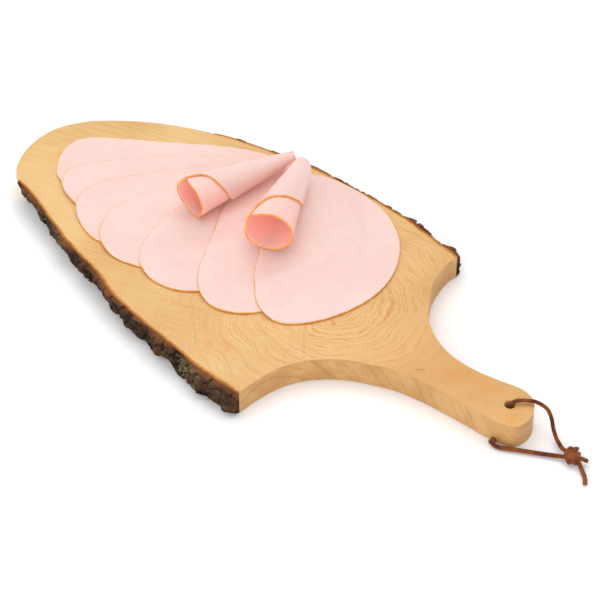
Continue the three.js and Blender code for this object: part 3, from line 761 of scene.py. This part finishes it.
fine_ring = add_node(t, "ShaderNodeGroup", node_tree=rings)
wire(t, place, fine_ring.inputs["Vector"])
fine_ring.inputs["Across"].default_value = 1100.0
reach = ramp(t, ring.outputs["Distance"], 0.17, 0.07)
fine = multiply(t, multiply(t, fine_ring.outputs["Value"], reach), 0.4)
tone = blend_colours(t, fine, tone, srgb(196, 134, 70))


# %% The wood's own marks: an orange stain, a small knot, a dark streak and a hair crack
def mark(tree, vector, x, y, turn_deg, long, wide):
    """A mark on the top face, at a place on the plan, with half sizes in millimetres."""
    n = add_node(tree, "ShaderNodeGroup", node_tree=marks)
    wire(tree, vector, n.inputs["Vector"])
    n.inputs["Place"].default_value = on_plan(x, y, BOARD_TOP)
    n.inputs["Turn"].default_value = math.radians(-turn_deg)
    n.inputs["Size"].default_value = (long * MM, wide * MM, 0.004)
    return n.outputs["Value"]


blotch = effect(t, clouds, place, Scale=130.0, Detail=3.0)
STAINS = ((-17, -60, 20, 16, 7), (-20, -68, -30, 11, 6), (-203, 18, 60, 14, 8),
          (158, -8, 60, 11, 7), (112, 4, 12, 24, 7), (136, 6, 10, 16, 6))
for x, y, turn_deg, long, wide in STAINS:
    stain = multiply(t, multiply(t, mark(t, place, x, y, turn_deg, long, wide), blotch), 0.4)
    tone = blend_colours(t, stain, tone, srgb(220, 140, 52))
DARK_MARKS = ((28.5, -5.2, 10, 2.4, 1.4, 0.75, (196, 122, 84)),
              (92, -6.3, 30, 4.2, 0.8, 0.7, (164, 100, 54)),
              (23.7, -28.6, -54, 17, 0.45, 0.45, (176, 122, 70)),
              (151, 9, 20, 1.0, 0.8, 0.6, (190, 116, 56)))
for x, y, turn_deg, long, wide, strength, dark in DARK_MARKS:
    spot = multiply(t, mark(t, place, x, y, turn_deg, long, wide), strength)
    tone = blend_colours(t, spot, tone, srgb(*dark))
print("wood marks placed")

# %% The sawn sides, where the surface stands upright, darker partly as painted shade, and the darker eased edges
facing = add_node(t, "ShaderNodeSeparateXYZ")
wire(t, add_node(t, "ShaderNodeNewGeometry").outputs["True Normal"], facing.inputs[0])
level = add_node(t, "ShaderNodeMath", operation="ABSOLUTE")
wire(t, facing.outputs["Z"], level.inputs[0])
ACROSS_SIDES = (300.0, -90.0, 170.0)
slant = add_node(t, "ShaderNodeVectorMath", operation="DOT_PRODUCT")
slant.inputs[1].default_value = ACROSS_SIDES
wire(t, place, slant.inputs[0])
side_years = add_node(t, "ShaderNodeTexNoise", noise_dimensions="1D")
side_years.inputs["Scale"].default_value, side_years.inputs["Detail"].default_value = 1.0, 2.0
bend = add_node(t, "ShaderNodeMath", operation="MULTIPLY_ADD")
bend.inputs[1].default_value = 0.8
wire(t, effect(t, clouds, place, Scale=40.0), bend.inputs[0])
wire(t, slant.outputs["Value"], bend.inputs[2])
wire(t, bend.outputs[0], side_years.inputs["W"])
side_cloud = effect(t, clouds, place, Scale=60.0)
# the sides are darker than the top, partly because end grain soaks up more oil and partly as painted shade
# for faces turned from the light above
sides = blend_colours(t, side_cloud, srgb(196, 146, 86), srgb(212, 166, 104))
side_line = multiply(t, ramp(t, side_years.outputs["Fac"], 0.56, 0.66), 0.26)
sides = blend_colours(t, side_line, sides, srgb(160, 98, 48))
# the eased edges, where the surface turns from the top, get a darker orange band
rim_tone = blend_colours(t, 0.55, tone, srgb(206, 132, 60))
tone = blend_colours(t, ramp(t, level.outputs[0], 0.86, 0.995), rim_tone, tone)
tone = blend_colours(t, ramp(t, level.outputs[0], 0.2, 0.7), sides, tone)
wire(t, tone, shader.inputs["Base Color"])
shine = add_node(t, "ShaderNodeMapRange")
shine.inputs["To Min"].default_value, shine.inputs["To Max"].default_value = 0.44, 0.6
wire(t, fibre, shine.inputs["Value"])
wire(t, shine.outputs["Result"], shader.inputs["Roughness"])
raise_surface(t, shader, fibre, 0.00012, 0.5)

# %% [markdown]
# ## The board
# The board is a plank 17 mm thick, cut lengthwise from a log. Its two long sides keep the
# tree's own outline, while the handle and shoulders were cut with a band saw and eased by
# hand. The outline is traced with a circle whose corners are pulled to it, extruded to
# the plank's thickness, and its edges get a small bevel. The hanging hole and the groove
# for the thong are cut with booleans, as a drill and a gouge would.

# %% Outline of the plank
# the third number is how far the underside is drawn in below that point
FAR_EDGE = [(-213, -15, 6), (-220, -6, 5.5), (-226, 14, 4), (-223.5, 36, 3), (-212, 53.5, 1.5),
            (-192.5, 69, 0.5), (-170, 81.5, 0), (-144.5, 91, 0), (-115.5, 98, 0), (-64.5, 103.5, 0),
            (-35, 102.5, 0), (4, 99, 0), (33, 93, 0), (56, 88, 0)]
HANDLE_EDGE = [(56, 88), (54.5, 79), (57.5, 59), (63.5, 46.5), (70, 35), (78, 26.5), (86.5, 20.5), (96, 16),
               (106, 13.5), (120, 12.6), (136, 14), (149, 15.5), (158.5, 12.5), (164, 5), (165.5, -4),
               (162, -12.5), (152, -15), (128, -14), (98.5, -13.5), (80, -15.5), (67, -19.5), (56, -23.5),
               (46, -29), (37, -36), (29.5, -44.5), (23.5, -55.5), (19.5, -69), (17, -84)]
NEAR_EDGE = [(17, -84, 0), (-21, -79.5, 1), (-39.5, -75, 2.2), (-67, -69.5, 3.2), (-97, -61, 6.2),
             (-118, -51.5, 6.4), (-141, -44.5, 6), (-164, -35, 6.8), (-193, -21.5, 6), (-213, -15, 6)]
HOLE_R, HOLE_AT, EDGE_EASE = 3.1, (150.0, 1.0), 1.6
handle_line = np.array([(*p, 0) for p in smooth_line(HANDLE_EDGE, 260)])
plank_line = np.vstack([smooth_line(FAR_EDGE, 150)[:-1], handle_line[:-1],
                        smooth_line(NEAR_EDGE, 110)[:-1]])
print("plank outline", len(plank_line), "corners")

# %% Plank
bpy.ops.object.select_all(action="DESELECT")
bpy.ops.mesh.primitive_circle_add(vertices=len(plank_line), radius=0.2, fill_type="NGON")
board = only(bpy.context.object)
ahead = np.roll(plank_line, -1, 0) - np.roll(plank_line, 1, 0)
inward = np.stack([ahead[:, 1], -ahead[:, 0]], 1) / np.linalg.norm(ahead[:, :2], axis=1)[:, None]
bottom = plank_line[:, :2] + inward * plank_line[:, 2:]
for v, (x, y) in zip(board.data.vertices, bottom):
    v.co = on_plan(x, y, 0)
bpy.ops.object.mode_set(mode="EDIT")
bpy.ops.mesh.select_all(action="SELECT")
bpy.ops.mesh.extrude_region_move(TRANSFORM_OT_translate={"value": (0, 0, BOARD_TOP * MM)})
bpy.ops.mesh.select_all(action="SELECT")
bpy.ops.mesh.normals_make_consistent(inside=False)
bpy.ops.object.mode_set(mode="OBJECT")
on_top = [v for v in board.data.vertices if v.co.z > 0.5 * BOARD_TOP * MM]
for v in on_top:
    spot = np.array((v.co.x / MM - SHIFT[0], v.co.y / MM - SHIFT[1]))
    n = int(np.argmin(np.linalg.norm(bottom - spot, axis=1)))
    v.co = on_plan(*plank_line[n, :2], BOARD_TOP)
eased = board.modifiers.new("eased", "BEVEL")
eased.width, eased.segments = EDGE_EASE * MM, 4
eased.limit_method, eased.angle_limit = "ANGLE", math.radians(50)
apply_all(board)
print("plank", len(board.data.polygons), "faces")


# %% Hole and groove
def cut(body, tool):
    m = body.modifiers.new("cut", "BOOLEAN")
    m.operation, m.object, m.solver = "DIFFERENCE", tool, "EXACT"
    apply_all(body)
    bpy.data.objects.remove(tool)


hx, hy, _ = on_plan(*HOLE_AT)
bpy.ops.object.select_all(action="DESELECT")
bpy.ops.mesh.primitive_cylinder_add(vertices=56, radius=HOLE_R * MM, depth=0.03, location=(hx, hy, 0.0085))
cut(board, settle(bpy.context.object))
gouge = [(150, 1.2, 3.4), (149.9, -2.8, 1.9), (149.9, -8, 1.4), (150.2, -14, 1.3), (150.5, -20, 1.2)]
cut(board, sweep("gouge", smooth_line(gouge, 24), 1.85, squash=1.0))
print("gouged the groove", len(board.data.polygons), "faces")

# %% Wear: the drilled edge is rounded where the thong rubs
only(board)
bpy.ops.object.mode_set(mode="EDIT")
bpy.ops.mesh.select_mode(type="EDGE")
bpy.ops.mesh.select_all(action="DESELECT")
bpy.ops.object.mode_set(mode="OBJECT")
for e in board.data.edges:
    ends = [board.data.vertices[n].co for n in e.vertices]
    e.select = all(abs(math.hypot(v.x - hx, v.y - hy) - HOLE_R * MM) < 0.00005
                   and abs(v.z - BOARD_TOP * MM) < 0.00005 for v in ends)
rubbed = sum(e.select for e in board.data.edges)
bpy.ops.object.mode_set(mode="EDIT")
bpy.ops.mesh.bevel(offset=0.0006, segments=3, affect="EDGES")
bpy.ops.mesh.select_mode(type="VERT")
bpy.ops.mesh.select_all(action="SELECT")
bpy.ops.mesh.normals_make_consistent(inside=False)
bpy.ops.object.mode_set(mode="OBJECT")
bpy.ops.object.shade_smooth_by_angle(angle=math.radians(35))
keep(board, "plank", "board", wood)
print("rounded", rubbed, "edges around the hole")

# %% [markdown]
# ## Bark
# The bark is what is left of the tree's skin on the plank's two long sides. It is thin,
# dark and split into ridges along the trunk, with lumps, cracks and patches of lichen.
# Between it and the wood lies a narrow amber line, the layer in which the tree grew.
# A strip starts as a flat grid. One side of the grid follows the edge of the board, the
# other goes once around the strip's section. Noise then pushes the outer face in and
# out. A Displace modifier would do that along normals, but here each push depends on
# where in the section a point is, so the planed top stays flat.

# %% The bark's material
bark, t, shader, place = start_material("bark", 0.9)
depth = add_node(t, "ShaderNodeAttribute", attribute_name="from_wood").outputs["Fac"]
lump = effect(t, clouds, place, Scale=60.0, Detail=5.0)
grit = effect(t, clouds, place, Scale=420.0, Detail=4.0)
skin = blend_colours(t, lump, srgb(34, 25, 21), srgb(104, 74, 52))
skin = blend_colours(t, multiply(t, grit, 0.55), skin, srgb(24, 18, 16))
lichen = effect(t, clouds, place, Scale=34.0, Detail=4.0)
fleck = effect(t, clouds, place, Scale=300.0, Detail=3.0)
patch = multiply(t, ramp(t, lichen, 0.55, 0.9), ramp(t, fleck, 0.45, 0.8))
skin = blend_colours(t, multiply(t, patch, 0.5), skin, srgb(138, 130, 88))
red = blend_colours(t, lump, srgb(92, 54, 32), srgb(136, 84, 50))
skin = blend_colours(t, ramp(t, depth, 2.0, 5.2), red, skin)
growth_layer = blend_colours(t, grit, srgb(196, 122, 52), srgb(218, 150, 76))
wire(t, blend_colours(t, ramp(t, depth, 0.5, 1.9), growth_layer, skin), shader.inputs["Base Color"])
shader.inputs["Specular IOR Level"].default_value = 0.2
raise_surface(t, shader, grit, 0.0006, 0.9)


# %% Making a strip of bark
def strip_of_bark(name, node, edge, start, end, seed, grow):
    line = smooth_line(edge, 900)
    under = line[:, 2]
    line = line[:, :2]
    part = slice(round(start * 900), round(end * 900) + 1)
    line, under = line[part], under[part]
    run = np.concatenate([[0], np.cumsum(np.linalg.norm(np.diff(line, axis=0), axis=1))])
    steps, around = int(run[-1] / 0.55), 40
    bpy.ops.object.select_all(action="DESELECT")
    bpy.ops.mesh.primitive_grid_add(x_subdivisions=steps, y_subdivisions=around, size=2)
    obj = only(bpy.context.object)
    flat = np.array([v.co[:2] for v in obj.data.vertices]) * 0.5 + 0.5
    at_run = flat[:, 0] * run[-1]
    base = np.stack([np.interp(at_run, run, line[:, i]) for i in (0, 1)], axis=1)
    drawn_in = np.interp(at_run, run, under)
    bulk = np.interp(at_run / run[-1], *grow)
    ahead = np.stack([np.interp(at_run + 0.8, run, line[:, i]) - np.interp(at_run - 0.8, run, line[:, i])
                      for i in (0, 1)], axis=1)
    ahead /= np.linalg.norm(ahead, axis=1, keepdims=True)
    out = np.stack([-ahead[:, 1], ahead[:, 0]], axis=1)
    # the section, once around: out along the planed top, down the outer face, back under, up the inside
    section = np.array([(0.0, -0.9, 17.08), (0.10, 0.5, 17.05), (0.20, 1.9, 16.7), (0.28, 2.7, 15.4),
                        (0.45, 3.3, 11.5), (0.62, 3.6, 7.0), (0.76, 3.4, 2.6), (0.82, 2.4, 0.5),
                        (0.9, -0.6, 0.4), (1.0, -0.9, 17.08)])
    offset = np.interp(flat[:, 1], section[:, 0], section[:, 1])
    height = np.interp(flat[:, 1], section[:, 0], section[:, 2])
    outer = np.clip((offset - 0.8) / 1.6, 0, 1)
    fade = np.clip(np.minimum(at_run, run[-1] - at_run) / 6, 0, 1)
    for n, v in enumerate(obj.data.vertices):
        u, z = at_run[n], height[n]
        lumps = noise.noise(Vector((u / 13, z / 11, seed)))
        ridges = noise.noise(Vector((u / 6.5, z / 2.4, seed + 7)))
        splits = max(0.0, 0.16 - abs(noise.noise(Vector((u / 8, z / 4.5, seed + 19))))) / 0.16
        relief = outer[n] * (0.4 + 0.6 * fade[n]) * (2.3 * lumps + 1.3 * ridges - 1.7 * splits)
        push = relief + (0.6 + 0.4 * fade[n] - 1) * max(offset[n], 0)
        edge_noise = noise.noise(Vector((u / 9, 0.5, seed + 31)))
        wander = (1 - outer[n]) * (0.55 * edge_noise) if height[n] > 16 else 0
        lean = drawn_in[n] * max(0.0, 1 - z / (BOARD_TOP - 1.2))
        reach = (offset[n] + push) * (bulk[n] if offset[n] > 0 else 1) + wander - lean
        v.co = on_plan(base[n, 0] + out[n, 0] * reach, base[n, 1] + out[n, 1] * reach, max(z, 0.35))
    from_wood = obj.data.attributes.new("from_wood", "FLOAT", "POINT")
    from_wood.data.foreach_set("value", (offset + 0.9 + (17.08 - height).clip(0) * 0.35).astype(np.float32))
    bpy.ops.object.mode_set(mode="EDIT")
    bpy.ops.mesh.select_all(action="SELECT")
    bpy.ops.mesh.remove_doubles(threshold=0.00003)
    bpy.ops.mesh.fill_holes(sides=0)
    bpy.ops.mesh.select_all(action="SELECT")
    bpy.ops.mesh.normals_make_consistent(inside=False)
    bpy.ops.object.mode_set(mode="OBJECT")
    bpy.ops.object.shade_smooth_by_angle(angle=math.radians(55))
    return keep(obj, name, node, bark)


# %% Both strips
# how thick the bark is along each strip: places from start to end, and the thickness there
NEAR_BULK = ([0, 0.12, 0.25, 0.48, 0.6, 0.8, 1], [1.75, 1.75, 1.4, 1.55, 1.4, 1.4, 1.1])
FAR_BULK = ([0, 0.5, 0.75, 1], [0.9, 0.9, 1.4, 1.7])
strip_of_bark("bark_near", "bark_front", NEAR_EDGE, 0.0, 0.98, 3.0, NEAR_BULK)
strip_of_bark("bark_far", "bark_back", FAR_EDGE, 0.56, 1.0, 11.0, FAR_BULK)

# %% [markdown]
# ## Suede
# The thong is cut from soft brown suede. Its nap is worn thin in places, so the tone
# wanders along it, and it has no gloss at all, only a faint fuzz that catches light at
# its edges. That fuzz is the shader's sheen, and the nap is fine relief in the normal.

# %% The suede's material, put on all five pieces
suede, t, shader, place = start_material("brown_suede", 0.95)
worn = effect(t, clouds, place, Scale=150.0, Detail=3.0)
nap = effect(t, clouds, place, Scale=1500.0, Detail=4.0)
hide_tone = blend_colours(t, worn, srgb(98, 47, 20), srgb(160, 90, 44))
wire(t, blend_colours(t, multiply(t, nap, 0.4), hide_tone, srgb(66, 32, 16)), shader.inputs["Base Color"])
shader.inputs["Sheen Weight"].default_value = 0.08
shader.inputs["Sheen Roughness"].default_value = 0.6
shader.inputs["Specular IOR Level"].default_value = 0.15
raise_surface(t, shader, nap, 0.00025, 0.8)
for piece in (upper, lower, tail, knot, fold):
    piece.data.materials.clear()
    piece.data.materials.append(suede)
    print(piece.name, "in suede")
